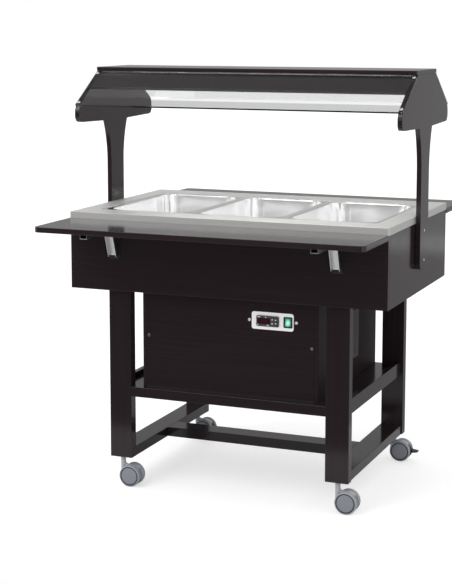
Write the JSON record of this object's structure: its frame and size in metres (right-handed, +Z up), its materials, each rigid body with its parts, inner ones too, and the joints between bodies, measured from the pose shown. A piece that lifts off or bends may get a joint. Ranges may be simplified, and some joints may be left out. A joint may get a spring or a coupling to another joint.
{
  "type": "refrigerated serving cart",
  "caption": "Wheeled dark-wood buffet cart with a chilled steel well for food pans, a lit glass canopy, fold-down serving trays and a compressor cabinet below.",
  "frame": {"origin": "on the floor under the middle of the cart", "axes": "+X along the cart to the right seen from the control side, +Y to the back, +Z up"},
  "size_m": [1.156, 1.237, 1.427],
  "materials": {
    "dark_wood": "dark stained and lacquered",
    "stainless": "fine brushed stainless",
    "foam": null,
    "copper": "drawn copper tube",
    "black_metal": "black paint",
    "black_plastic": "moulded black",
    "plate_metal": "satin plate",
    "display": "dark red filter",
    "fins": "bare fins",
    "clear_glass": "clear, polished edges",
    "white_metal": "white paint",
    "lamp_glass": "frosted white",
    "bracket_metal": "silver paint",
    "zinc": "zinc plated",
    "chrome": "polished",
    "green_lens": "lit green lens",
    "key_plastic": "soft keys",
    "grey_plastic": "moulded light grey",
    "wheel_plastic": "moulded blue grey"
  },
  "bodies": {
    "cart": {"top_deck": "stainless", "well_liner": "stainless", "insulation": "foam", "cooling_coil": "copper", "base_panel": "dark_wood", "long_aprons": "dark_wood", "side_aprons": "dark_wood", "left_front_leg": "dark_wood", "left_rear_leg": "dark_wood", "right_front_leg": "dark_wood", "right_rear_leg": "dark_wood", "foot_rails": "dark_wood", "stretcher": "dark_wood", "shelf_board": "dark_wood", "shelf_side_rails": "dark_wood", "cabinet_front": "dark_wood", "cabinet_shell": "dark_wood", "vent_grille": "black_metal", "power_inlet": "black_plastic", "control_plate": "plate_metal", "thermostat_case": "black_plastic", "thermostat_window": "display", "switch_bezel": "black_plastic", "compressor": "black_metal", "condenser": "fins", "left_gable": "dark_wood", "right_gable": "dark_wood", "canopy_board": "dark_wood", "valances": "dark_wood", "glass_panes": "clear_glass", "lamp_holder": "white_metal", "lamp_tube": "lamp_glass", "bracket_plates": "bracket_metal", "caster_stems": "zinc", "screws": "chrome"},
    "front_tray": {"front_tray": "dark_wood", "front_arms": "bracket_metal"},
    "front_struts": {"front_struts": "bracket_metal"},
    "rear_tray": {"rear_tray": "dark_wood", "rear_arms": "bracket_metal"},
    "rear_struts": {"rear_struts": "bracket_metal"},
    "pan_left": {"pan_left": "stainless"},
    "pan_middle": {"pan_middle": "stainless"},
    "pan_right": {"pan_right": "stainless"},
    "fan": {"fan_blade": "black_plastic"},
    "rocker": {"switch_rocker": "green_lens"},
    "key_set": {"key_set": "key_plastic"},
    "key_defrost": {"key_defrost": "key_plastic"},
    "key_up": {"key_up": "key_plastic"},
    "key_down": {"key_down": "key_plastic"},
    "front_left_fork": {"front_left_hood": "grey_plastic"},
    "front_left_wheels": {"front_left_wheels": "wheel_plastic"},
    "front_right_fork": {"front_right_hood": "grey_plastic"},
    "front_right_wheels": {"front_right_wheels": "wheel_plastic"},
    "rear_left_fork": {"rear_left_hood": "grey_plastic"},
    "rear_left_wheels": {"rear_left_wheels": "wheel_plastic"},
    "rear_left_brake": {"rear_left_pedal": "black_plastic"},
    "rear_right_fork": {"rear_right_hood": "grey_plastic"},
    "rear_right_wheels": {"rear_right_wheels": "wheel_plastic"},
    "rear_right_brake": {"rear_right_pedal": "black_plastic"}
  },
  "joints": [
    {"name": "front_tray_fold", "type": "hinge", "parent": "cart", "child": "front_tray", "pos_m": [0, -0.384, 0.897], "axis": [1, 0, 0], "range_deg": [0, 90]},
    {"name": "front_strut_fold", "type": "hinge", "parent": "front_tray", "child": "front_struts", "pos_m": [0, -0.40889, 0.895], "axis": [1, 0, 0], "range_deg": [-109, 0]},
    {"name": "rear_tray_fold", "type": "hinge", "parent": "cart", "child": "rear_tray", "pos_m": [0, 0.384, 0.897], "axis": [-1, 0, 0], "range_deg": [0, 90]},
    {"name": "rear_strut_fold", "type": "hinge", "parent": "rear_tray", "child": "rear_struts", "pos_m": [0, 0.40889, 0.895], "axis": [-1, 0, 0], "range_deg": [-109, 0]},
    {"name": "pan_left_lift", "type": "slide", "parent": "cart", "child": "pan_left", "axis": [0, 0, 1], "range_m": [0, 0.2]},
    {"name": "pan_middle_lift", "type": "slide", "parent": "cart", "child": "pan_middle", "axis": [0, 0, 1], "range_m": [0, 0.2]},
    {"name": "pan_right_lift", "type": "slide", "parent": "cart", "child": "pan_right", "axis": [0, 0, 1], "range_m": [0, 0.2]},
    {"name": "fan_spin", "type": "hinge", "parent": "cart", "child": "fan", "pos_m": [0.191, -0.012, 0.491], "axis": [1, 0, 0], "continuous": true},
    {"name": "rocker_tilt", "type": "hinge", "parent": "cart", "child": "rocker", "pos_m": [0.21, -0.312, 0.612], "axis": [1, 0, 0], "range_deg": [0, 16]},
    {"name": "key_set_press", "type": "slide", "parent": "cart", "child": "key_set", "axis": [0, 1, 0], "range_m": [0, 0.0008], "stiffness_N_per_m": 800},
    {"name": "key_defrost_press", "type": "slide", "parent": "cart", "child": "key_defrost", "axis": [0, 1, 0], "range_m": [0, 0.0008], "stiffness_N_per_m": 800},
    {"name": "key_up_press", "type": "slide", "parent": "cart", "child": "key_up", "axis": [0, 1, 0], "range_m": [0, 0.0008], "stiffness_N_per_m": 800},
    {"name": "key_down_press", "type": "slide", "parent": "cart", "child": "key_down", "axis": [0, 1, 0], "range_m": [0, 0.0008], "stiffness_N_per_m": 800},
    {"name": "front_left_swivel", "type": "hinge", "parent": "cart", "child": "front_left_fork", "pos_m": [-0.388, -0.321, 0.08], "axis": [0, 0, 1], "continuous": true},
    {"name": "front_left_roll", "type": "hinge", "parent": "front_left_fork", "child": "front_left_wheels", "pos_m": [-0.355, -0.321, 0.0375], "axis": [0, 1, 0], "continuous": true},
    {"name": "front_right_swivel", "type": "hinge", "parent": "cart", "child": "front_right_fork", "pos_m": [0.388, -0.321, 0.08], "axis": [0, 0, 1], "continuous": true},
    {"name": "front_right_roll", "type": "hinge", "parent": "front_right_fork", "child": "front_right_wheels", "pos_m": [0.421, -0.321, 0.0375], "axis": [0, 1, 0], "continuous": true},
    {"name": "rear_left_swivel", "type": "hinge", "parent": "cart", "child": "rear_left_fork", "pos_m": [-0.388, 0.321, 0.08], "axis": [0, 0, 1], "continuous": true},
    {"name": "rear_left_roll", "type": "hinge", "parent": "rear_left_fork", "child": "rear_left_wheels", "pos_m": [-0.355, 0.321, 0.0375], "axis": [0, 1, 0], "continuous": true},
    {"name": "rear_left_brake_press", "type": "hinge", "parent": "rear_left_fork", "child": "rear_left_brake", "pos_m": [-0.338, 0.321, 0.0375], "axis": [0, 1, 0], "range_deg": [0, 14]},
    {"name": "rear_right_swivel", "type": "hinge", "parent": "cart", "child": "rear_right_fork", "pos_m": [0.388, 0.321, 0.08], "axis": [0, 0, 1], "continuous": true},
    {"name": "rear_right_roll", "type": "hinge", "parent": "rear_right_fork", "child": "rear_right_wheels", "pos_m": [0.421, 0.321, 0.0375], "axis": [0, 1, 0], "continuous": true},
    {"name": "rear_right_brake_press", "type": "hinge", "parent": "rear_right_fork", "child": "rear_right_brake", "pos_m": [0.438, 0.321, 0.0375], "axis": [0, 1, 0], "range_deg": [0, 14]}
  ],
  "couplings": [
    {"joint": "front_strut_fold", "follows": "front_tray_fold", "ratio": -1.2111},
    {"joint": "rear_strut_fold", "follows": "rear_tray_fold", "ratio": -1.2111}
  ]
}
